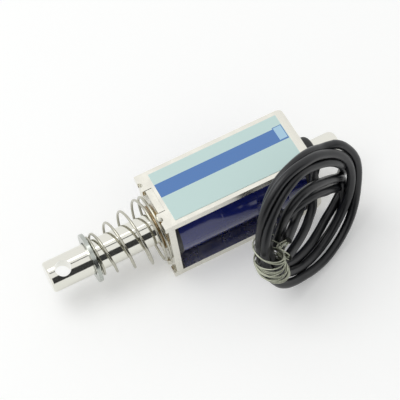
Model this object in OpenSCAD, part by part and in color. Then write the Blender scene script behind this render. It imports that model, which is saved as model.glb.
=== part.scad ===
// Open-frame push pull solenoid, drawn at its real size in millimetres.
// X runs along the plunger, which points to -X. Z is up. The origin is midway between the two
// mounting holes, on the outside of the bottom plate.

/* [Frame] */
// Length of the channel frame along the plunger
frame_len = 30; // [28:0.5:34]
// Width of the frame, from its near edges to its far edges
frame_w = 13; // [12.8:0.1:16]
// Height over the top and bottom plates
frame_h = 15.4; // [15:0.1:18]
// Thickness of the steel sheet
sheet_t = 1.25; // [1:0.05:1.5]
// Outside radius of the two bends at the rear
bend_r = 1.8; // [1.6:0.1:2.4]
// How far the front plate sits behind the front edges
plate_recess = 0.5; // [0.2:0.1:1]
// Width of the front plate's two tabs
tab_w = 5.4; // [4:0.1:7]
// Distance between the two mounting holes
mount_pitch = 15; // [12:0.5:16]
// Tapping diameter of the mounting holes
mount_hole_d = 2.5; // [2:0.1:2.5]

/* [Coil] */
// Outside diameter of the finished coil, over its tape
coil_d = 12.4; // [12:0.1:12.6]
// Thickness of each bobbin flange
flange_t = 0.9; // [0.7:0.1:1.2]
// Build-up of the insulating tape
tape_t = 0.3; // [0.2:0.05:0.4]
// Bore of the brass guide tube
tube_bore_d = 6; // [5.98:0.01:6.02]
// Wall of the brass guide tube
tube_wall = 0.35; // [0.3:0.05:0.4]
// Diameter of the guide tube's front collar
collar_d = 8.4; // [8:0.1:9]

/* [Plunger] */
// Diameter of the plunger
plunger_d = 5.86; // [5.84:0.01:5.9]
// Diameter of the push rod at the rear
rod_d = 4.5; // [4.4:0.05:4.5]
// Distance from the frame's front edges to the plunger's tip, at rest
reach_front = 21.15; // [20:0.05:24]
// Distance from the rear wall to the end of the push rod, at rest
reach_rear = 7.1; // [6:0.1:9]
// Travel from rest until the plunger meets the pole
stroke = 10; // [9:0.5:10]
// Diameter of the cross hole near the tip
cross_hole_d = 3; // [2.5:0.1:3.2]
// Distance from the tip to the cross hole
cross_hole_in = 2.9; // [2.5:0.1:4]
// Direction of the cross hole, turned up from the near side
cross_hole_turn = 67; // [0:1:180]

/* [Retaining ring and bumper] */
// Outside diameter of the retaining ring
e_ring_d = 9.3; // [9:0.1:10]
// Thickness of the retaining ring
e_ring_t = 0.7; // [0.6:0.05:0.8]
// Distance from the front edges to the ring's rear face, at rest
e_ring_out = 12.4; // [11.5:0.1:13]
// Outside diameter of the rubber bumper
bumper_d = 6.8; // [6.4:0.1:8]
// Length of the rubber bumper
bumper_len = 2.3; // [2:0.1:2.6]

/* [Return spring] */
// Wire diameter
wire_d = 0.48; // [0.4:0.02:0.5]
// Mean diameter of the small end, against the retaining ring
spring_small_d = 7.2; // [6.8:0.1:7.4]
// Mean diameter of the large end, against the front plate
spring_large_d = 12.2; // [11:0.1:12.3]
// Closed turns at the small end
closed_small = 1.05; // [0.75:0.05:1.25]
// Open turns between the closed ends
open_turns = 3.3; // [3:0.1:4]
// Closed turns at the large end
closed_large = 1.35; // [1:0.05:1.5]

/* [Label] */
// Length of the label
label_len = 25.6; // [20:0.1:26]
// Width of the label
label_w = 11.2; // [9:0.1:11.8]
// Thickness of the label film
label_t = 0.08; // [0.05:0.01:0.15]

/* [Leads] */
// Diameter over the insulation
lead_d = 1.65; // [1.2:0.05:1.8]
// Mean diameter of the coiled leads
ring_d = 23.4; // [20:0.1:25]
// Thickness of the coiled bundle across its turns
bundle_w = 3.6; // [3.2:0.1:4.2]
// Thickness of the coiled bundle along its axis
bundle_t = 5; // [4:0.1:5.4]

/* [Hidden] */
$fn = 64;

axis_z = frame_h / 2;                              // height of the plunger's axis
front_x = -frame_len / 2;                          // front edges of the channel
rear_x = frame_len / 2;                            // outside of the rear wall
plate_x0 = front_x + plate_recess;                 // front face of the front plate
plate_x1 = plate_x0 + sheet_t;                     // its rear face
wall_x = rear_x - sheet_t;                         // inside of the rear wall
fit = 0.06;                                        // radial clearance of a running fit
slack = 0.02;                                      // gap between faces that only just meet
tab_gap = 0.12;                                    // beside each of the front plate's tabs

tube_r = tube_bore_d / 2 + tube_wall;              // outside of the guide tube
collar_t = 0.6;
lead_in = 0.4;                                     // chamfer at the mouth of the guide tube
pole_x = 9;                                        // face of the fixed pole
shim_t = 0.15;
pole_stake_r = 2.9;                                // pole's spigot in the rear wall
bobbin_x0 = plate_x1 + 0.05;
bobbin_x1 = wall_x - 0.05;
bobbin_wall = 0.7;
bobbin_flange_d = 12.6;
bobbin_chamfer = 0.4;                              // clears the inside of the frame's bends
coil_x0 = bobbin_x0 + flange_t;
coil_x1 = bobbin_x1 - flange_t;
wire_r1 = coil_d / 2 - tape_t;                     // outside of the copper winding

tip_x = front_x - reach_front;
shoulder_x = pole_x - shim_t - 0.05 - stroke;      // where the plunger steps down to the rod
rod_end_x = rear_x + reach_rear;
dome_len = 1.2;
tip_chamfer = 0.3;
e_ring_x1 = front_x - e_ring_out;                  // rear face of the retaining ring
e_ring_x0 = e_ring_x1 - e_ring_t;
e_groove_r = 2;
bumper_x0 = rear_x + 0.05;
bumper_x1 = bumper_x0 + bumper_len - slack;
bumper_groove = [bumper_x0 + 0.5, bumper_x0 + bumper_len];
bumper_groove_r = 1.75;

cover_x = [3.1, 8.6];                              // joint cover, along the coil
cover_a = [160, 212];                              // and round it, from +Y towards +Z
cover_t = 1;

ring_c = [8.75, -15.35, 13.52];                    // centre of the coiled leads
ring_turn = [86, 0, 25.5];                         // they stand on edge beside the frame
bundle_round = 1.5;
wrap_t = 0.35;
wrap_at = 168;                                     // bare strands tied round the bundle
wrap_angle = 36;
bare_d = 0.7;

// Routes of the leads where they aren't coiled. X and Y lie in the plane of the coiled leads,
// measured from its centre, and Z stands out of it.
route_a_start = [[-0.3, -5.6, -9.8], [-0.8, -5.7, -8.8], [-1.8, -5.9, -8], [-3.3, -6.1, -7.2],
  [-4.9, -6.1, -6.4], [-6.3, -5.6, -5.4], [-7.3, -4.6, -4.3], [-7.7, -3.1, -3.3],
  [-7.4, -1.1, -2.4], [-6.5, 1.6, -1.6], [-5.4, 4.3, -0.9], [-4, 6.2, -0.4], [-2, 7.2, 0],
  [0, 7.1, 0.2], [2.4, 5.9, 0.2], [5.2, 3.8, 0], [8.2, 0.9, -0.4], [10.4, -2.1, -1]];
route_b_start = [[1.7, -7.8, -9.5], [1.2, -8.3, -8.5], [0.3, -8.7, -7.7], [-0.9, -8.9, -7],
  [-2.3, -9, -6.2], [-3.6, -8.8, -5.3], [-4.7, -8, -4.4], [-5.3, -6.6, -3.7], [-5.4, -4.4, -3.3],
  [-5, -1.5, -2.9], [-4.1, 0.7, -2.6], [-2.7, 2, -2.1], [-0.7, 2.4, -1.6], [1.3, 2, -1.3],
  [3.2, 1.3, -1.1], [5.8, -0.4, -1], [8.6, -3, -1.2], [10.6, -5.4, -1.5]];
route_a_end = [[1.9, 10.8, -1.7], [3.9, 10, -1.7], [5.5, 8.6, -1.9], [6.2, 6.8, -2.2],
  [6, 5, -2.5], [5.5, 3, -2.8], [5, 0.4, -2.9], [4.1, -1.9, -2.7], [3, -3.2, -2.2],
  [1.6, -4, -1.9], [-0.3, -4.5, -1.4], [-2.8, -4.4, -0.8], [-5.6, -3.7, -0.1], [-8, -2.7, 0.6]];
route_b_end = [[11.9, -4.2, -2.6], [11.8, -5.7, -3.2], [11, -6.8, -3.8], [9.6, -7, -4.2],
  [8, -6.1, -4.5], [6.6, -5.1, -4.6], [5.2, -4.2, -4.6], [3.5, -3.1, -4.3], [2, -2.2, -3.7],
  [0.4, -1.3, -2.8], [-1.4, -0.5, -2], [-3.4, 0, -1.1], [-5.3, 0.3, -0.4], [-6.9, 0.7, 0.3]];
route_bare_a = [[-8, -2.7, 0.6], [-8.6, -2.9, 0.8], [-9.2, -3, 1]];
route_bare_b = [[-6.9, 0.7, 0.3], [-8.2, 0.6, 0.8], [-9.7, 0.3, 1.1]];

// Stands a shape drawn round Z on the plunger's axis, with Z along +X and X up.
module on_axis(x = 0) {
  translate([x, 0, axis_z]) rotate([0, 90, 0]) children();
}

module round_bar(x0, x1, r) {
  on_axis(x0) cylinder(h = x1 - x0, r = r);
}

module round_tube(x0, x1, r_out, r_in) {
  difference() {
    round_bar(x0, x1, r_out);
    round_bar(x0 - 1, x1 + 1, r_in);
  }
}

// Side view of a box whose two rear corners are rounded.
module rear_rounded(len, high, r) {
  square([len - r, high]);
  translate([0, r]) square([len, high - 2 * r]);
  for (z = [r, high - r]) translate([len - r, z]) circle(r = r);
}

module frame() {
  color("lightgray") difference() {
    translate([front_x, frame_w / 2, 0]) rotate([90, 0, 0]) linear_extrude(frame_w) difference() {
      rear_rounded(frame_len, frame_h, bend_r);
      translate([-1, sheet_t])
        rear_rounded(frame_len - sheet_t + 1, frame_h - 2 * sheet_t, bend_r - sheet_t);
    }
    tab_notches();
    stake_marks();
    for (x = [-1, 1]) translate([x * mount_pitch / 2, 0, -1]) cylinder(h = 3, d = mount_hole_d);
    round_bar(wall_x - 1, rear_x + 1, pole_stake_r);
  }
}

// Slots in the front edges that the front plate's tabs are staked into.
module tab_notches() {
  notch_w = tab_w + 2 * tab_gap;
  for (z = [-1, frame_h - sheet_t - 0.5])
    translate([front_x - 1, -notch_w / 2, z])
      cube([plate_x1 - front_x + 1 + slack, notch_w, sheet_t + 1.5]);
}

// Half-round nicks that the staking punch leaves beside each tab.
module stake_marks() {
  for (y = [-4.2, 4.2]) translate([front_x, y, -1]) cylinder(h = frame_h + 2, r = 0.65);
}

module front_plate() {
  gap = 0.01;
  color("gainsboro") difference() {
    union() {
      translate([plate_x0, -frame_w / 2, sheet_t + gap])
        cube([sheet_t, frame_w, frame_h - 2 * (sheet_t + gap)]);
      translate([plate_x0, -tab_w / 2, 0]) cube([sheet_t, tab_w, frame_h]);
    }
    round_bar(plate_x0 - 1, plate_x1 + 1, tube_r);
  }
}

module guide_tube() {
  color("peru") difference() {
    union() {
      round_bar(plate_x0, pole_x - slack, tube_r);
      round_bar(plate_x0 - collar_t, plate_x0, collar_d / 2);
    }
    round_bar(plate_x0 - 1, pole_x + 1, tube_bore_d / 2);
    on_axis(plate_x0 - collar_t - slack)
      cylinder(h = lead_in, r1 = tube_bore_d / 2 + lead_in, r2 = tube_bore_d / 2);
  }
}

module fixed_pole() {
  color("silver") difference() {
    union() {
      round_bar(pole_x, wall_x, tube_r);
      round_bar(wall_x, rear_x, pole_stake_r);
    }
    round_bar(pole_x - 1, rear_x + 1, rod_d / 2 + fit);
  }
}

module pole_shim() {
  color("darkgoldenrod")
    round_tube(pole_x - shim_t - slack, pole_x - slack, tube_bore_d / 2 - 0.05, rod_d / 2 + 0.15);
}

module bobbin() {
  inner_r = tube_r + 0.03;
  color("dimgray") difference() {
    union() {
      round_bar(bobbin_x0, bobbin_x1, inner_r + bobbin_wall);
      intersection() {
        bobbin_flanges();
        translate([bobbin_x0, -frame_w / 2 + 0.3, 0])
          cube([bobbin_x1 - bobbin_x0, frame_w - 0.6, frame_h]);
      }
    }
    round_bar(bobbin_x0 - 1, bobbin_x1 + 1, inner_r);
  }
}

// Both flanges. The rear one's outer edge is chamfered.
module bobbin_flanges() {
  r = bobbin_flange_d / 2;
  round_bar(bobbin_x0, coil_x0, r);
  round_bar(coil_x1, bobbin_x1 - bobbin_chamfer, r);
  on_axis(bobbin_x1 - bobbin_chamfer) cylinder(h = bobbin_chamfer, r1 = r, r2 = r - bobbin_chamfer);
}

module winding() {
  color("darkorange")
    round_tube(coil_x0 + 0.02, coil_x1 - 0.02, wire_r1, tube_r + 0.03 + bobbin_wall);
}

module tape_wrap() {
  color("navy") round_tube(coil_x0 + 0.02, coil_x1 - 0.02, coil_d / 2, wire_r1);
}

// Pad of tape over the joints between the winding and its leads.
module joint_cover() {
  color("midnightblue") difference() {
    coil_sector(cover_x, cover_a, coil_d / 2, coil_d / 2 + cover_t);
    solder_pair(0.02);
  }
}

// Part of a ring round the plunger's axis: x is its span, a its angles from +Y towards +Z.
module coil_sector(x, a, r_in, r_out) {
  translate([x[0], 0, axis_z]) rotate([90, 0, 90]) rotate([0, 0, a[0]])
    rotate_extrude(angle = a[1] - a[0]) translate([r_in, 0]) square([r_out - r_in, x[1] - x[0]]);
}

module solder_pair(grow = 0) {
  for (k = [0, 1]) translate([4.4 + 2 * k, 0, axis_z]) rotate([185 + 17 * k, 0, 0])
    translate([0, coil_d / 2 + 0.5, 0]) rotate([0, 90, 0])
      translate([0, 0, -1.1 - grow]) cylinder(h = 2.2 + 2 * grow, r = 0.3 + grow);
}

module solder_joints() {
  color("lightgray") solder_pair();
}

module label() {
  label_x0 = front_x + 2.4;
  color("lightcyan")
    translate([label_x0, -label_w / 2, frame_h]) cube([label_len, label_w, label_t]);
}

// Half profile of the plunger, from its tip to the domed end of the push rod.
module plunger_profile() {
  r = plunger_d / 2;
  q = rod_d / 2;
  c = tip_chamfer;
  polygon(concat(
    [[0, tip_x], [r - c, tip_x], [r, tip_x + c], [r, shoulder_x - c], [r - c, shoulder_x],
     [q, shoulder_x]],
    [for (a = [0:15:75]) [q - 1 + cos(a), rod_end_x - dome_len + dome_len * sin(a)]],
    [[q - 1, rod_end_x], [0, rod_end_x]]));
}

module plunger() {
  hole_x = tip_x + cross_hole_in;
  color("silver") difference() {
    translate([0, 0, axis_z]) rotate([0, 90, 0]) rotate_extrude() plunger_profile();
    round_tube(e_ring_x0 - slack, e_ring_x1 + slack, plunger_d, e_groove_r);
    round_tube(bumper_groove[0], bumper_groove[1], plunger_d, bumper_groove_r);
    translate([hole_x, 0, axis_z]) rotate([90 - cross_hole_turn, 0, 0])
      cylinder(h = 2 * plunger_d, d = cross_hole_d, center = true);
  }
}

// Stamped retaining ring: two prongs and three lugs that sit in the groove.
module e_ring_outline() {
  lug_w = 1.7;
  mouth_w = 4.3;
  lug_r = e_groove_r + 0.05;
  difference() {
    union() {
      difference() {
        circle(d = e_ring_d);
        circle(r = 3.15);
        translate([0, -mouth_w / 2]) square([e_ring_d, mouth_w]);
      }
      for (a = [48, 180, 312]) rotate(a) translate([lug_r - 0.2, -lug_w / 2]) square([1.5, lug_w]);
    }
    circle(r = lug_r);
  }
}

module e_ring() {
  mouth_turn = 300;
  color("gray") translate([e_ring_x0, 0, axis_z]) rotate([90, 0, 90])
    rotate(mouth_turn) linear_extrude(e_ring_t) e_ring_outline();
}

// Soft ring that snaps into the rod's groove and stops the plunger on the rear wall.
module rear_bumper() {
  r = bumper_d / 2;
  q = rod_d / 2 + slack;
  g = bumper_groove_r + slack;
  shoulder = 1.1;
  color("black") translate([0, 0, axis_z]) rotate([0, 90, 0]) rotate_extrude() polygon(concat(
    [[q, bumper_x0], [r, bumper_x0]],
    [for (a = [0:15:90]) [r - shoulder + shoulder * cos(a), bumper_x1 - shoulder + shoulder * sin(a)]],
    [[g, bumper_x1], [g, bumper_groove[0] + slack], [q, bumper_groove[0] + slack]]));
}

// Helix of the return spring: t counts turns from the small end.
spring_turns = closed_small + open_turns + closed_large;
spring_x = [e_ring_x1 + wire_d / 2 + 0.04, plate_x0 - wire_d / 2 - 0.02];
closed_pitch = [0.6, 0.9];
full_width_x = 1.4;                                // last stretch, where the spring has its full width
spring_knots = [[0, spring_x[0]], [closed_small, spring_x[0] + closed_small * closed_pitch[0]],
  [closed_small + open_turns, spring_x[1] - closed_large * closed_pitch[1]],
  [spring_turns, spring_x[1]]];
spring_phase = -38;
function spring_pos(t) = lookup(t, spring_knots);
function spring_r(t) = let (x = spring_pos(t), k = (x - spring_x[0]) / (spring_x[1] - full_width_x - spring_x[0]))
  (spring_small_d + (spring_large_d - spring_small_d) * min(k, 1)) / 2;
function spring_point(t) = let (a = spring_phase + 360 * t)
  [spring_pos(t), spring_r(t) * cos(a), axis_z + spring_r(t) * sin(a)];

module return_spring() {
  steps = 24;
  path = [for (i = [0:round(spring_turns * steps)]) spring_point(i / steps)];
  color("darkgray") tube(path, wire_d / 2, 6);
}

// Sweeps a round section along a list of points, turning it as little as it can.
function unit(v) = v / norm(v);
function tangent(p, i) = unit(p[min(i + 1, len(p) - 1)] - p[max(i - 1, 0)]);
function across(v, t) = unit(v - (v * t) * t);
function start_side(t) = across(abs(t.z) < 0.8 ? [0, 0, 1] : [0, 1, 0], t);
function sides(p, i = 0, last = undef) = i == len(p) ? [] :
  let (s = i == 0 ? start_side(tangent(p, 0)) : across(last, tangent(p, i)))
  concat([s], sides(p, i + 1, s));

module tube(path, r, n) {
  side = sides(path);
  rings = len(path);
  points = [for (i = [0:rings - 1]) let (t = tangent(path, i), s = side[i], u = cross(t, s))
    for (k = [0:n - 1]) path[i] + r * (cos(360 * k / n) * s + sin(360 * k / n) * u)];
  wall = [for (i = [0:rings - 2], k = [0:n - 1]) let (m = (k + 1) % n)
    [i * n + k, i * n + m, (i + 1) * n + m, (i + 1) * n + k]];
  caps = [[for (k = [n - 1:-1:0]) k], [for (k = [0:n - 1]) (rings - 1) * n + k]];
  polyhedron(points = points, faces = concat([for (f = wall) [f[3], f[2], f[1], f[0]]],
    [for (f = caps) [for (k = [len(f) - 1:-1:0]) f[k]]]));
}

// Places what is drawn in the plane of the coiled leads.
module in_ring_plane() {
  translate(ring_c) rotate(ring_turn) children();
}

module lead(route) {
  color("#202124") in_ring_plane() tube(route, lead_d / 2, 8);
}

module bundle_section(w, t, r) {
  translate([ring_d / 2, 0]) {
    square([w - 2 * r, t], center = true);
    square([w, t - 2 * r], center = true);
    for (x = [-1, 1], y = [-1, 1]) translate([x * (w / 2 - r), y * (t / 2 - r)]) circle(r = r);
  }
}

module lead_coil() {
  color("#202124") in_ring_plane() rotate_extrude() bundle_section(bundle_w, bundle_t, bundle_round);
}

module strand_wrap() {
  grow = 2 * wrap_t;
  color("#b9bda8") in_ring_plane() rotate([0, 0, wrap_at]) rotate_extrude(angle = wrap_angle)
    difference() {
      bundle_section(bundle_w + grow, bundle_t + grow, bundle_round + wrap_t);
      bundle_section(bundle_w + 2 * slack, bundle_t + 2 * slack, bundle_round + slack);
    }
}

module bare_strands(route) {
  color("#b9bda8") in_ring_plane() tube(route, bare_d / 2, 6);
}

frame();
front_plate();
guide_tube();
fixed_pole();
pole_shim();
bobbin();
winding();
tape_wrap();
joint_cover();
solder_joints();
label();
plunger();
e_ring();
return_spring();
rear_bumper();
lead(route_a_start);  // lead_a_start
lead(route_b_start);  // lead_b_start
lead_coil();
lead(route_a_end);  // lead_a_end
lead(route_b_end);  // lead_b_end
bare_strands(route_bare_a);  // bare_a
bare_strands(route_bare_b);  // bare_b
strand_wrap();
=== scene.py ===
import math
import random

import bpy
from mathutils import Matrix, Quaternion, Vector


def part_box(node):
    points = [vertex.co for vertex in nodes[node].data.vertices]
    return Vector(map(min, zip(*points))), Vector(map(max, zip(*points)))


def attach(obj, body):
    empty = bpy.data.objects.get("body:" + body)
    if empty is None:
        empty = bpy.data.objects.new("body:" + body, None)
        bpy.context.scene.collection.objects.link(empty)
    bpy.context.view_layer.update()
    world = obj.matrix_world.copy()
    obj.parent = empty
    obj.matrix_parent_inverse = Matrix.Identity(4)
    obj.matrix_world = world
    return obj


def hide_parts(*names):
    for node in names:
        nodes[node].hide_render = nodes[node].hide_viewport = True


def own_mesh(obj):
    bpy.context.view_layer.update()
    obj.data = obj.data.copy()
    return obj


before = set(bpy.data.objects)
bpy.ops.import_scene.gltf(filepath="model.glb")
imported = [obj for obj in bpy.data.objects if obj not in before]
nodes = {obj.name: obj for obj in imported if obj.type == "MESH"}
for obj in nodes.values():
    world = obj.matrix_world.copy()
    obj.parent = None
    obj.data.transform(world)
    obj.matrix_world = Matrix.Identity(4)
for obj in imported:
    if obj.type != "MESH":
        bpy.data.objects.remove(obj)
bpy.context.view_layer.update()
MM = 0.001

# Studio: a pale floor, soft light from all round and one large lamp, and the camera.
# Two black cards stand where only mirror reflections meet them. They give polished
# metal its dark bands, as the flags of a product studio do.


def linear(hex_colour):
    """Linear RGBA of an sRGB colour such as "#a0b0c0"."""
    parts = [int(hex_colour[i:i + 2], 16) / 255 for i in (1, 3, 5)]
    return [c / 12.92 if c <= 0.04045 else ((c + 0.055) / 1.055) ** 2.4 for c in parts] + [1.0]


def add(tree, kind, inputs=(), **settings):
    """Adds a shader node. An input that is a socket is linked, and any other is a value."""
    node = tree.nodes.new("ShaderNode" + kind)
    for key, value in settings.items():
        setattr(node, key, value)
    for key, value in dict(inputs).items():
        if isinstance(value, bpy.types.NodeSocket):
            tree.links.new(value, node.inputs[key])
        else:
            node.inputs[key].default_value = value
    return node


scene = bpy.context.scene
scene.view_settings.view_transform = "Standard"

CAMERA_AZIMUTH, CAMERA_ELEVATION, CAMERA_ROLL = map(math.radians, (-17.396, 55.206, -10.990))
CAMERA_DISTANCE = 353.39 * MM
CAMERA_AIM = Vector((-5.27, 1.30, 7.47)) * MM
CAMERA_LENS = 176.26

towards_camera = Vector((
    math.sin(CAMERA_AZIMUTH) * math.cos(CAMERA_ELEVATION),
    -math.cos(CAMERA_AZIMUTH) * math.cos(CAMERA_ELEVATION),
    math.sin(CAMERA_ELEVATION)))
camera = bpy.data.objects.new("camera", bpy.data.cameras.new("camera"))
scene.collection.objects.link(camera)
camera.data.lens = CAMERA_LENS
camera.data.sensor_width = 36
camera.data.clip_start, camera.data.clip_end = 0.01, 10
camera.rotation_mode = "QUATERNION"
camera.location = CAMERA_AIM + towards_camera * CAMERA_DISTANCE
camera.rotation_quaternion = (
    towards_camera.to_track_quat("Z", "Y") @ Quaternion((0, 0, 1), CAMERA_ROLL))
scene.camera = camera

world = bpy.data.worlds.new("studio")
scene.world = world
world.use_nodes = True
tree = world.node_tree
tree.nodes.clear()
rays = add(tree, "LightPath")
seen = add(tree, "Math", {0: rays.outputs["Is Camera Ray"], 1: rays.outputs["Is Glossy Ray"]},
           operation="MAXIMUM")
shown = add(tree, "Math", {0: seen.outputs[0], 1: rays.outputs["Is Transmission Ray"]},
            operation="MAXIMUM")
soft = add(tree, "Background", {"Color": linear("#f4f5f5"), "Strength": 0.72})
white = add(tree, "Background", {"Color": (1, 1, 1, 1), "Strength": 1.0})
mixed = add(tree, "MixShader", {0: shown.outputs[0], 1: soft.outputs[0], 2: white.outputs[0]})
add(tree, "OutputWorld", {"Surface": mixed.outputs[0]})

LAMP_POWER, LAMP_SIZE = 0.75, 0.35
lamp = bpy.data.objects.new("softbox", bpy.data.lights.new("softbox", "AREA"))
scene.collection.objects.link(lamp)
lamp.data.energy, lamp.data.size = LAMP_POWER, LAMP_SIZE
lamp.location = (-0.16, 0.10, 0.46)
lamp.rotation_euler = (-lamp.location).to_track_quat("-Z", "Y").to_euler()


def flat_card(name, corners):
    """A four-cornered stage card."""
    mesh = bpy.data.meshes.new(name)
    mesh.from_pydata([tuple(c) for c in corners], [], [(0, 1, 2, 3)])
    card = bpy.data.objects.new(name, mesh)
    scene.collection.objects.link(card)
    return card


FLOOR_HALF = 1.5
FLOOR_Z = -0.00002
floor = flat_card("floor", [(x, y, FLOOR_Z) for x, y in (
    (-FLOOR_HALF, -FLOOR_HALF), (FLOOR_HALF, -FLOOR_HALF),
    (FLOOR_HALF, FLOOR_HALF), (-FLOOR_HALF, FLOOR_HALF))])
paper = bpy.data.materials.new("white_paper")
paper.use_nodes = True
tree = paper.node_tree
tree.nodes.clear()
rays = add(tree, "LightPath")
seen = add(tree, "Math", {0: rays.outputs["Is Camera Ray"], 1: rays.outputs["Is Glossy Ray"]},
           operation="MAXIMUM")
matt = add(tree, "BsdfDiffuse", {"Color": linear("#f0f0ef")})
glow = add(tree, "Emission", {"Color": (1, 1, 1, 1), "Strength": 0.2})
lit = add(tree, "AddShader", {0: matt.outputs[0], 1: glow.outputs[0]})
mixed = add(tree, "MixShader", {0: seen.outputs[0], 1: matt.outputs[0], 2: lit.outputs[0]})
add(tree, "OutputMaterial", {"Surface": mixed.outputs[0]})
floor.data.materials.append(paper)

black_card = bpy.data.materials.new("black_card")
black_card.use_nodes = True
black_card.node_tree.nodes["Principled BSDF"].inputs["Base Color"].default_value = linear("#1c1d20")
CARD_HALF = 0.9
for name, corners in (
        ("front_flag", [(-CARD_HALF, -0.60, 0.0), (CARD_HALF, -0.60, 0.0),
                        (CARD_HALF, -0.60, 0.56), (-CARD_HALF, -0.60, 0.56)]),
        ("top_flag", [(-CARD_HALF, -0.145, 0.6), (CARD_HALF, -0.145, 0.6),
                      (CARD_HALF, -0.085, 0.6), (-CARD_HALF, -0.085, 0.6)])):
    card = flat_card(name, corners)
    card.data.materials.append(black_card)
    card.visible_camera = card.visible_diffuse = card.visible_shadow = False
    card.visible_transmission = False

# Frame: a channel bent from mild steel sheet, pierced and then barrel plated with bright nickel.
# Plating leaves the rolled faces bright with a faint grain along the sheet, and rounds the edges.


def new_material(name, colour, metallic, roughness, **more):
    """A material with one Principled shader. Names of its other sockets use _ for a space."""
    made = bpy.data.materials.new(name)
    made.use_nodes = True
    shader = made.node_tree.nodes["Principled BSDF"]
    shader.inputs["Base Color"].default_value = linear(colour)
    shader.inputs["Metallic"].default_value = metallic
    shader.inputs["Roughness"].default_value = roughness
    for key, value in more.items():
        shader.inputs[key.replace("_", " ")].default_value = value
    return made, made.node_tree, shader


def noise(tree, size_mm, detail):
    """A noise texture whose features are about size_mm across, in the piece's own place."""
    place = add(tree, "TexCoord").outputs["Object"]
    return add(tree, "TexNoise", {"Vector": place, "Scale": 1 / (size_mm * MM), "Detail": detail})


def bump(tree, height, depth_mm, strength, *sockets):
    """Relief of the given depth, linked to each of the shader's sockets."""
    relief = add(tree, "Bump", {"Height": height, "Distance": depth_mm * MM, "Strength": strength})
    for socket in sockets:
        tree.links.new(relief.outputs[0], socket)


def uneven_roughness(tree, cloud, shader, contrast, low, high):
    """Roughness from low to high, where contrast is the noise values that give the two ends."""
    rough = add(tree, "MapRange", {
        "Value": cloud.outputs["Fac"], "From Min": contrast[0], "From Max": contrast[1],
        "To Min": low, "To Max": high})
    tree.links.new(rough.outputs[0], shader.inputs["Roughness"])


def finish_cad(node, surface, bevel_mm=0.0):
    """Gives a CAD node its material and, where it has sharp turned or sheared edges, rounds them."""
    piece = nodes[node]
    piece.data.materials.clear()
    piece.data.materials.append(surface)
    if bevel_mm:
        edge = piece.modifiers.new("rounded_edges", "BEVEL")
        edge.width, edge.segments = bevel_mm * MM, 2
        edge.limit_method, edge.angle_limit = "ANGLE", math.radians(35)
        edge.harden_normals = True
    return piece


GRAIN_MM = (3.0, 0.12, 0.12)
nickel_sheet, tree, shader = new_material("bright_nickel_on_rolled_steel", "#e6e4da", 1.0, 0.24)
place = add(tree, "TexCoord")
grain_at = add(tree, "Mapping", {"Vector": place.outputs["Object"],
                                 "Scale": [1 / (g * MM) for g in GRAIN_MM]})
grain = add(tree, "TexNoise", {"Vector": grain_at.outputs[0], "Scale": 1.0, "Detail": 3.0})
uneven_roughness(tree, noise(tree, 2.5, 4.0), shader, (0.35, 0.65), 0.17, 0.33)
bump(tree, grain.outputs["Fac"], 0.002, 0.35, shader.inputs["Normal"])
finish_cad("frame", nickel_sheet, bevel_mm=0.12)

# Front plate: sheet steel, nickel plated like the frame, whose tabs are staked into its notches.
finish_cad("front_plate", nickel_sheet, bevel_mm=0.1)

# Guide tube: drawn brass, pressed into the front plate with a collar. The plunger slides in it.
# Brass that has been handled and heated is brown in its corners and dull on its faces.


def two_tones(tree, cloud, shader, dark, light):
    """Base colour between two tones, by a noise."""
    tone = add(tree, "Mix", {"Factor": cloud.outputs["Fac"], "A": linear(dark),
                             "B": linear(light)}, data_type="RGBA")
    tree.links.new(tone.outputs["Result"], shader.inputs["Base Color"])


old_brass, tree, shader = new_material("tarnished_brass", "#9a7c48", 1.0, 0.34)
two_tones(tree, noise(tree, 0.9, 5.0), shader, "#6d5631", "#ae9058")
finish_cad("guide_tube", old_brass, bevel_mm=0.06)
finish_cad("pole_shim", old_brass)

# Fixed pole: turned steel, nickel plated, riveted into the rear wall. The push rod runs through it.
turned_nickel, tree, shader = new_material("turned_nickel_plate", "#d6d4ca", 1.0, 0.26)
bump(tree, noise(tree, 0.3, 2.0).outputs["Fac"], 0.001, 0.3, shader.inputs["Normal"])
finish_cad("fixed_pole", turned_nickel)

# Bobbin: moulded nylon, near black as painted shade; its front flange shows as a thin dark disc
# behind the plate.
nylon_painted_gap_shade, tree, shader = new_material("nylon_coloured_as_gap_shade", "#262524", 0.0, 0.48)
bump(tree, noise(tree, 0.12, 2.0).outputs["Fac"], 0.004, 0.3, shader.inputs["Normal"])
finish_cad("bobbin", nylon_painted_gap_shade)

# Winding: enamelled copper wire, wound in even turns under the tape, where none of it shows.
WIRE_PITCH_MM = 0.22
copper, tree, shader = new_material("enamelled_copper_wire", "#a4552b", 1.0, 0.3)
place = add(tree, "TexCoord")
turns = add(tree, "TexWave", {"Vector": place.outputs["Object"],
                              "Scale": math.tau / 20 / (WIRE_PITCH_MM * MM)},
            wave_type="BANDS", bands_direction="X")
bump(tree, turns.outputs["Fac"], 0.05, 1.0, shader.inputs["Normal"])
finish_cad("winding", copper)

# Tape: three laps of blue polyester film, stuck round the winding. The laps' edges show as faint
# steps, and the film between them is glossy and a little uneven over the wire below.
LAP_EDGES_MM = (-9.3, -4.0, 3.2)
LAP_EDGE_WIDTH_MM = 0.16
blue_film, tree, shader = new_material(
    "blue_polyester_tape", "#0d1a66", 0.0, 0.2, Coat_Weight=0.7, Coat_Roughness=0.1)
place = add(tree, "TexCoord")
axes = add(tree, "SeparateXYZ", {"Vector": place.outputs["Object"]})
height = noise(tree, 2.2, 3.0).outputs["Fac"]
for edge in LAP_EDGES_MM:
    step = add(tree, "MapRange", {
        "Value": axes.outputs["X"], "From Min": edge * MM,
        "From Max": (edge + LAP_EDGE_WIDTH_MM) * MM, "To Min": 0.0, "To Max": 0.9})
    height = add(tree, "Math", {0: height, 1: step.outputs[0]}, operation="ADD").outputs[0]
bump(tree, height, 0.05, 0.6, shader.inputs["Normal"], shader.inputs["Coat Normal"])
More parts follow.
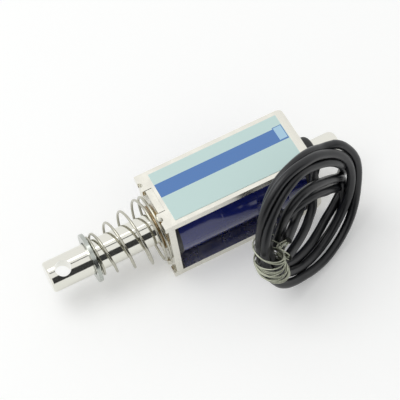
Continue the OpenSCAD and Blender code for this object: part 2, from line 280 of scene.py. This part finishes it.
finish_cad("tape_wrap", blue_film)
finish_cad("joint_cover", blue_film, bevel_mm=0.25)

# Solder joints: tin solder, frozen bright and slightly grainy. They sit inside the joint cover.
solder, tree, shader = new_material("tin_solder", "#c9cac8", 1.0, 0.32)
finish_cad("solder_joints", solder)

# Label: printed polyester film with a clear overlay, stuck on the top plate. Its field is a pale
# blue-green, with one plain blue band and an outlined box at the band's end, and no lettering.
BAND_MM = (-12.6, 12.9, -0.1, 3.0)
BOX_MM = (11.1, 12.9, 0.1, 3.3)
BOX_LINE_MM = 0.14
FIELD_COLOUR, BAND_COLOUR, BOX_COLOUR = "#c5dfdb", "#3b74b8", "#a9cfe6"
film, tree, shader = new_material(
    "printed_polyester_film", FIELD_COLOUR, 0.0, 0.3, Coat_Weight=1.0, Coat_Roughness=0.06)
place = add(tree, "TexCoord")
axes = add(tree, "SeparateXYZ", {"Vector": place.outputs["Object"]})


def inside(tree, axes, low_x, high_x, low_y, high_y):
    """1 inside a rectangle on the label, given in millimetres, and 0 outside."""
    found = None
    for axis, limit, kind in (("X", low_x, "GREATER_THAN"), ("X", high_x, "LESS_THAN"),
                              ("Y", low_y, "GREATER_THAN"), ("Y", high_y, "LESS_THAN")):
        test = add(tree, "Math", {0: axes.outputs[axis], 1: limit * MM}, operation=kind).outputs[0]
        found = test if found is None else add(
            tree, "Math", {0: found, 1: test}, operation="MULTIPLY").outputs[0]
    return found


band = inside(tree, axes, *BAND_MM)
outer = inside(tree, axes, *BOX_MM)
inner = inside(tree, axes, BOX_MM[0] + BOX_LINE_MM, BOX_MM[1] - BOX_LINE_MM,
               BOX_MM[2] + BOX_LINE_MM, BOX_MM[3] - BOX_LINE_MM)
printed = add(tree, "Mix", {"Factor": band, "A": linear(FIELD_COLOUR), "B": linear(BAND_COLOUR)},
              data_type="RGBA")
boxed = add(tree, "Mix", {"Factor": outer, "A": printed.outputs["Result"],
                          "B": linear(BAND_COLOUR)}, data_type="RGBA")
field = add(tree, "Mix", {"Factor": inner, "A": boxed.outputs["Result"],
                          "B": linear(BOX_COLOUR)}, data_type="RGBA")
tree.links.new(field.outputs["Result"], shader.inputs["Base Color"])
bump(tree, noise(tree, 4.0, 2.0).outputs["Fac"], 0.03, 0.5, shader.inputs["Coat Normal"])
finish_cad("label", film)

# Plunger: one turned bar of soft iron, ground, cross drilled and plated with bright nickel.
# It is smooth enough to mirror the room in bands, with the faintest turning marks round it.
mirror_nickel, tree, shader = new_material("ground_bright_nickel", "#e4e3da", 1.0, 0.1)
place = add(tree, "TexCoord")
marks_at = add(tree, "Mapping", {"Vector": place.outputs["Object"],
                                 "Scale": (1 / (0.09 * MM), 1 / (9 * MM), 1 / (9 * MM))})
marks = add(tree, "TexNoise", {"Vector": marks_at.outputs[0], "Scale": 1.0, "Detail": 2.0})
bump(tree, marks.outputs["Fac"], 0.001, 0.25, shader.inputs["Normal"])
finish_cad("plunger", mirror_nickel, bevel_mm=0.05)

# Retaining ring: stamped from spring steel, hardened and zinc plated, and pushed on from the side.
zinc, tree, shader = new_material("zinc_plated_spring_steel", "#b4b8b2", 1.0, 0.22)
uneven_roughness(tree, noise(tree, 0.7, 4.0), shader, (0.3, 0.7), 0.16, 0.3)
finish_cad("e_ring", zinc, bevel_mm=0.06)

# Return spring: stainless wire, coiled as a cone with closed ends. The small end bears on the
# retaining ring and the large one on the front plate. It shortens as the plunger goes in.
WIRE_MM = 0.48
SMALL_MEAN_MM, LARGE_MEAN_MM = 7.2, 12.2
CLOSED_SMALL, OPEN_TURNS, CLOSED_LARGE = 1.05, 3.3, 1.35
CLOSED_PITCH_MM = (0.6, 0.9)
FIRST_ANGLE = math.radians(-38)
TAPER_END_MM = 1.4
STEPS_PER_TURN, WIRE_SIDES = 60, 12
RING_GAP_MM, PLATE_GAP_MM = 0.04, 0.02
ring_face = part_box("e_ring")[1].x
plate_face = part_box("front_plate")[0].x
axis_z = sum(corner.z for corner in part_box("plunger")) / 2
first_x = ring_face + (WIRE_MM / 2 + RING_GAP_MM) * MM
last_x = plate_face - (WIRE_MM / 2 + PLATE_GAP_MM) * MM
all_turns = CLOSED_SMALL + OPEN_TURNS + CLOSED_LARGE
knots = [(0, first_x), (CLOSED_SMALL, first_x + CLOSED_SMALL * CLOSED_PITCH_MM[0] * MM),
         (CLOSED_SMALL + OPEN_TURNS, last_x - CLOSED_LARGE * CLOSED_PITCH_MM[1] * MM),
         (all_turns, last_x)]


def spring_point(turn):
    """A point of the spring's centreline, where turn counts from the small end."""
    for (t0, x0), (t1, x1) in zip(knots, knots[1:]):
        if turn <= t1:
            x = x0 + (x1 - x0) * (turn - t0) / (t1 - t0)
            break
    taper = min((x - first_x) / (last_x - TAPER_END_MM * MM - first_x), 1)
    radius = (SMALL_MEAN_MM + (LARGE_MEAN_MM - SMALL_MEAN_MM) * taper) / 2 * MM
    angle = FIRST_ANGLE + math.tau * turn
    return Vector((x, radius * math.cos(angle), axis_z + radius * math.sin(angle)))


def swept_wire(name, points, radius, sides, surface):
    """A closed mesh tube along points, with flat ends."""
    tangents = [(points[min(i + 1, len(points) - 1)] - points[max(i - 1, 0)]).normalized()
                for i in range(len(points))]
    side = tangents[0].orthogonal().normalized()
    rings, faces = [], []
    for point, along in zip(points, tangents):
        side = (side - along * side.dot(along)).normalized()
        other = along.cross(side)
        rings += [point + radius * (side * math.cos(a) + other * math.sin(a))
                  for a in (math.tau * k / sides for k in range(sides))]
    for i in range(len(points) - 1):
        for k in range(sides):
            m = (k + 1) % sides
            faces.append((i * sides + k, i * sides + m, (i + 1) * sides + m, (i + 1) * sides + k))
    faces.append(tuple(range(sides - 1, -1, -1)))
    faces.append(tuple((len(points) - 1) * sides + k for k in range(sides)))
    mesh = bpy.data.meshes.new(name)
    mesh.from_pydata([tuple(p) for p in rings], [], faces)
    for polygon in mesh.polygons[:-2]:
        polygon.use_smooth = True
    mesh.materials.append(surface)
    piece = bpy.data.objects.new(name, mesh)
    scene.collection.objects.link(piece)
    return piece


stainless, tree, shader = new_material("drawn_stainless_wire", "#bab8ac", 1.0, 0.2)
uneven_roughness(tree, noise(tree, 0.5, 2.0), shader, (0.3, 0.7), 0.15, 0.28)
steps = round(all_turns * STEPS_PER_TURN)
spring = swept_wire("conical_return_spring",
                    [spring_point(all_turns * i / steps) for i in range(steps + 1)],
                    WIRE_MM / 2 * MM, WIRE_SIDES, stainless)
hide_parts("return_spring")
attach(spring, "solenoid_body")
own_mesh(spring)

# Rear bumper: moulded rubber, snapped into the rod's groove. It quietens the return stroke.
rubber, tree, shader = new_material("moulded_rubber", "#131313", 0.0, 0.55)
bump(tree, noise(tree, 0.15, 3.0).outputs["Fac"], 0.01, 0.4, shader.inputs["Normal"])
finish_cad("rear_bumper", rubber)

# Leads: two stranded wires in black PVC, soldered to the winding under the joint cover. They are
# wound together into a ring that stands beside the frame. Points of a route lie in the ring's
# plane, measured from its centre, and the third number stands out of it.
LEAD_MM = 1.65
RING_CENTRE_MM = (8.75, -15.35, 13.52)
RING_TILT, RING_TURN = math.radians(86), math.radians(25.5)
ring_place = (Matrix.Translation(Vector(RING_CENTRE_MM) * MM)
              @ Matrix.Rotation(RING_TURN, 4, "Z") @ Matrix.Rotation(RING_TILT, 4, "X"))
START_A = [(-0.3, -5.6, -9.8), (-0.8, -5.7, -8.8), (-1.8, -5.9, -8), (-3.3, -6.1, -7.2),
           (-4.9, -6.1, -6.4), (-6.3, -5.6, -5.4), (-7.3, -4.6, -4.3), (-7.7, -3.1, -3.3),
           (-7.4, -1.1, -2.4), (-6.5, 1.6, -1.6), (-5.4, 4.3, -0.9), (-4, 6.2, -0.4),
           (-2, 7.2, 0), (0, 7.1, 0.2), (2.4, 5.9, 0.2), (5.2, 3.8, 0), (8.2, 0.9, -0.4),
           (10.4, -2.1, -1)]
START_B = [(1.7, -7.8, -9.5), (1.2, -8.3, -8.5), (0.3, -8.7, -7.7), (-0.9, -8.9, -7),
           (-2.3, -9, -6.2), (-3.6, -8.8, -5.3), (-4.7, -8, -4.4), (-5.3, -6.6, -3.7),
           (-5.4, -4.4, -3.3), (-5, -1.5, -2.9), (-4.1, 0.7, -2.6), (-2.7, 2, -2.1),
           (-0.7, 2.4, -1.6), (1.3, 2, -1.3), (3.2, 1.3, -1.1), (5.8, -0.4, -1), (8.6, -3, -1.2),
           (10.6, -5.4, -1.5)]
END_A = [(1.9, 10.8, -1.7), (3.9, 10, -1.7), (5.5, 8.6, -1.9), (6.2, 6.8, -2.2), (6, 5, -2.5),
         (5.5, 3, -2.8), (5, 0.4, -2.9), (4.1, -1.9, -2.7), (3, -3.2, -2.2), (1.6, -4, -1.9),
         (-0.3, -4.5, -1.4), (-2.8, -4.4, -0.8), (-5.6, -3.7, -0.1), (-8, -2.7, 0.6)]
END_B = [(11.9, -4.2, -2.6), (11.8, -5.7, -3.2), (11, -6.8, -3.8), (9.6, -7, -4.2),
         (8, -6.1, -4.5), (6.6, -5.1, -4.6), (5.2, -4.2, -4.6), (3.5, -3.1, -4.3), (2, -2.2, -3.7),
         (0.4, -1.3, -2.8), (-1.4, -0.5, -2), (-3.4, 0, -1.1), (-5.3, 0.3, -0.4),
         (-6.9, 0.7, 0.3)]
# Where each lead lies in the ring, as (degrees, radius, depth). Degrees fall, turn after turn.
TURNS_A = [(-45, 12.0, -0.4), (-95, 12.4, -1.1), (-150, 12.4, -1.4), (-200, 11.8, -1.9),
           (-232, 13.3, -1.6), (-255, 13.5, -1.2), (-277, 12.9, -0.5), (-305, 11.8, -0.2),
           (-340, 11.5, 0.6), (-375, 10.8, 0.9), (-415, 10.4, 0.5), (-450, 11.1, 0.1),
           (-490, 11.0, 0.3), (-520, 11.1, 0.3), (-557, 10.3, -1.5), (-600, 10.7, -1.8)]
TURNS_B = [(-40, 11.2, -1.6), (-60, 10.2, -1.7), (-100, 10.0, -1.3), (-150, 10.3, -1.1),
           (-200, 9.7, -2.5), (-245, 12.0, -2.7), (-280, 12.4, -2.0), (-310, 12.0, -1.8),
           (-325, 13.1, -0.9), (-350, 13.2, 0.6), (-380, 12.4, 1.2), (-410, 12.2, 1.7),
           (-450, 12.0, 1.8), (-480, 12.0, 1.5), (-505, 13.0, 1.0), (-530, 12.9, 0.2),
           (-560, 12.4, -0.3), (-595, 11.9, -0.6), (-625, 11.7, -0.4), (-655, 10.2, -0.3),
           (-695, 10.2, 0.1), (-722, 11.2, -1.0)]
COIL_STEP_DEG = 10


def eased(before, here, there, after, t):
    """A smooth value between here and there that passes through both (Catmull-Rom)."""
    return here + t * ((there - before) / 2
                       + t * (before - 2.5 * here + 2 * there - after / 2
                              + t * (1.5 * (here - there) + (after - before) / 2)))


def coil_points(start, end, knots):
    """Turns of a lead from start to end of the coil, eased from each of its knots to the next."""
    first = (math.degrees(math.atan2(start[1], start[0])), math.hypot(*start[:2]), start[2])
    last = [math.degrees(math.atan2(end[1], end[0])), math.hypot(*end[:2]), end[2]]
    while last[0] > knots[-1][0]:
        last[0] -= 360
    knots = [first, *knots, last]
    points = []
    for i in range(len(knots) - 1):
        near = [knots[min(max(i + k, 0), len(knots) - 1)] for k in (-1, 0, 1, 2)]
        here, there = near[1:3]
        steps = max(round((here[0] - there[0]) / COIL_STEP_DEG), 1)
        for k in range(0 if i else 1, steps):
            t = k / steps
            angle = math.radians(here[0] + (there[0] - here[0]) * t)
            radius, depth = (eased(*(knot[n] for knot in near), t) for n in (1, 2))
            points.append((radius * math.cos(angle), radius * math.sin(angle), depth))
    return points


def lead_curve(name, route):
    """A round cord along the route, as one smooth spline with closed ends."""
    curve = bpy.data.curves.new(name, "CURVE")
    curve.dimensions, curve.bevel_depth, curve.bevel_resolution = "3D", LEAD_MM / 2 * MM, 6
    curve.use_fill_caps = True
    spline = curve.splines.new("BEZIER")
    spline.bezier_points.add(len(route) - 1)
    for knot, point in zip(spline.bezier_points, route):
        knot.co = ring_place @ (Vector(point) * MM)
        knot.handle_left_type = knot.handle_right_type = "AUTO"
    spline.resolution_u = 6
    curve.materials.append(pvc)
    piece = bpy.data.objects.new(name, curve)
    scene.collection.objects.link(piece)
    return piece


pvc, tree, shader = new_material("extruded_black_pvc", "#0c0e12", 0.0, 0.33)
bump(tree, noise(tree, 0.35, 3.0).outputs["Fac"], 0.012, 0.35, shader.inputs["Normal"])
ROUTE_A = START_A + coil_points(START_A[-1], END_A[0], TURNS_A) + END_A
ROUTE_B = START_B + coil_points(START_B[-1], END_B[0], TURNS_B) + END_B
lead_a = lead_curve("lead_a", ROUTE_A)
lead_b = lead_curve("lead_b", ROUTE_B)

# Bare strands: tinned copper, stripped at both leads' ends, splayed and tied round the ring.
# Each is drawn thicker than a real strand of 0.12 mm, which would be too fine to show.
STRAND_MM = 0.26
STRANDS_PER_LEAD, STRAND_LAPS = 7, 1.1
POINTS_PER_LAP = 16
RING_MEAN_MM = 23.4
TIE_FROM, TIE_TO = math.radians(168), math.radians(204)
TIE_HALF_R_MM, TIE_HALF_W_MM = 2.05, 2.75
tinned, tree, shader = new_material("tinned_copper_strand", "#a8ab98", 1.0, 0.36)
two_tones(tree, noise(tree, 0.6, 3.0), shader, "#8b8f7b", "#c6c8b8")
chance = random.Random(5)


def tie_point(turn, angle, lift):
    """A point on the strands' way round the ring's section. Turn 0 is on its inner side."""
    around = math.tau * turn + math.pi
    radius = RING_MEAN_MM / 2 + (TIE_HALF_R_MM + lift) * math.cos(around)
    return (radius * math.cos(angle), radius * math.sin(angle),
            -(TIE_HALF_W_MM + lift) * math.sin(around))


def bare_strands(name, lead_end):
    """The strands of one lead: they leave its end together, splay, and go round the ring."""
    curve = bpy.data.curves.new(name, "CURVE")
    curve.dimensions, curve.bevel_depth, curve.bevel_resolution = "3D", STRAND_MM / 2 * MM, 2
    curve.use_fill_caps = True
    for k in range(STRANDS_PER_LEAD):
        spread = (k + 0.5) / STRANDS_PER_LEAD
        first = TIE_FROM + (TIE_TO - TIE_FROM) * spread + chance.uniform(-0.02, 0.02)
        slant = chance.uniform(-0.4, 0.4)
        lift = chance.uniform(-0.05, 0.28)
        root = Vector(lead_end) + Vector([chance.uniform(-0.45, 0.45) for _ in range(3)])
        route = [root]
        laps = STRAND_LAPS + chance.uniform(-0.15, 0.15)
        steps = round(laps * POINTS_PER_LAP)
        for i in range(steps + 1):
            turn = laps * i / steps
            route.append(Vector(tie_point(turn, first + slant * turn, lift)))
        spline = curve.splines.new("BEZIER")
        spline.bezier_points.add(len(route) - 1)
        for knot, point in zip(spline.bezier_points, route):
            knot.co = ring_place @ (point * MM)
            knot.handle_left_type = knot.handle_right_type = "AUTO"
        spline.resolution_u = 3
    curve.materials.append(tinned)
    piece = bpy.data.objects.new(name, curve)
    scene.collection.objects.link(piece)
    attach(piece, "solenoid_body")
    return piece


strands_a = bare_strands("strands_a", END_A[-1])
strands_b = bare_strands("strands_b", END_B[-1])
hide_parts("bare_a", "strand_wrap")
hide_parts("bare_b", "strand_wrap")
for piece, route, strands, ends in ((lead_a, ROUTE_A, strands_a, ("lead_a_start", "lead_a_end")),
                                    (lead_b, ROUTE_B, strands_b, ("lead_b_start", "lead_b_end"))):
    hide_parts("lead_coil", *ends)
    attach(piece, "solenoid_body")
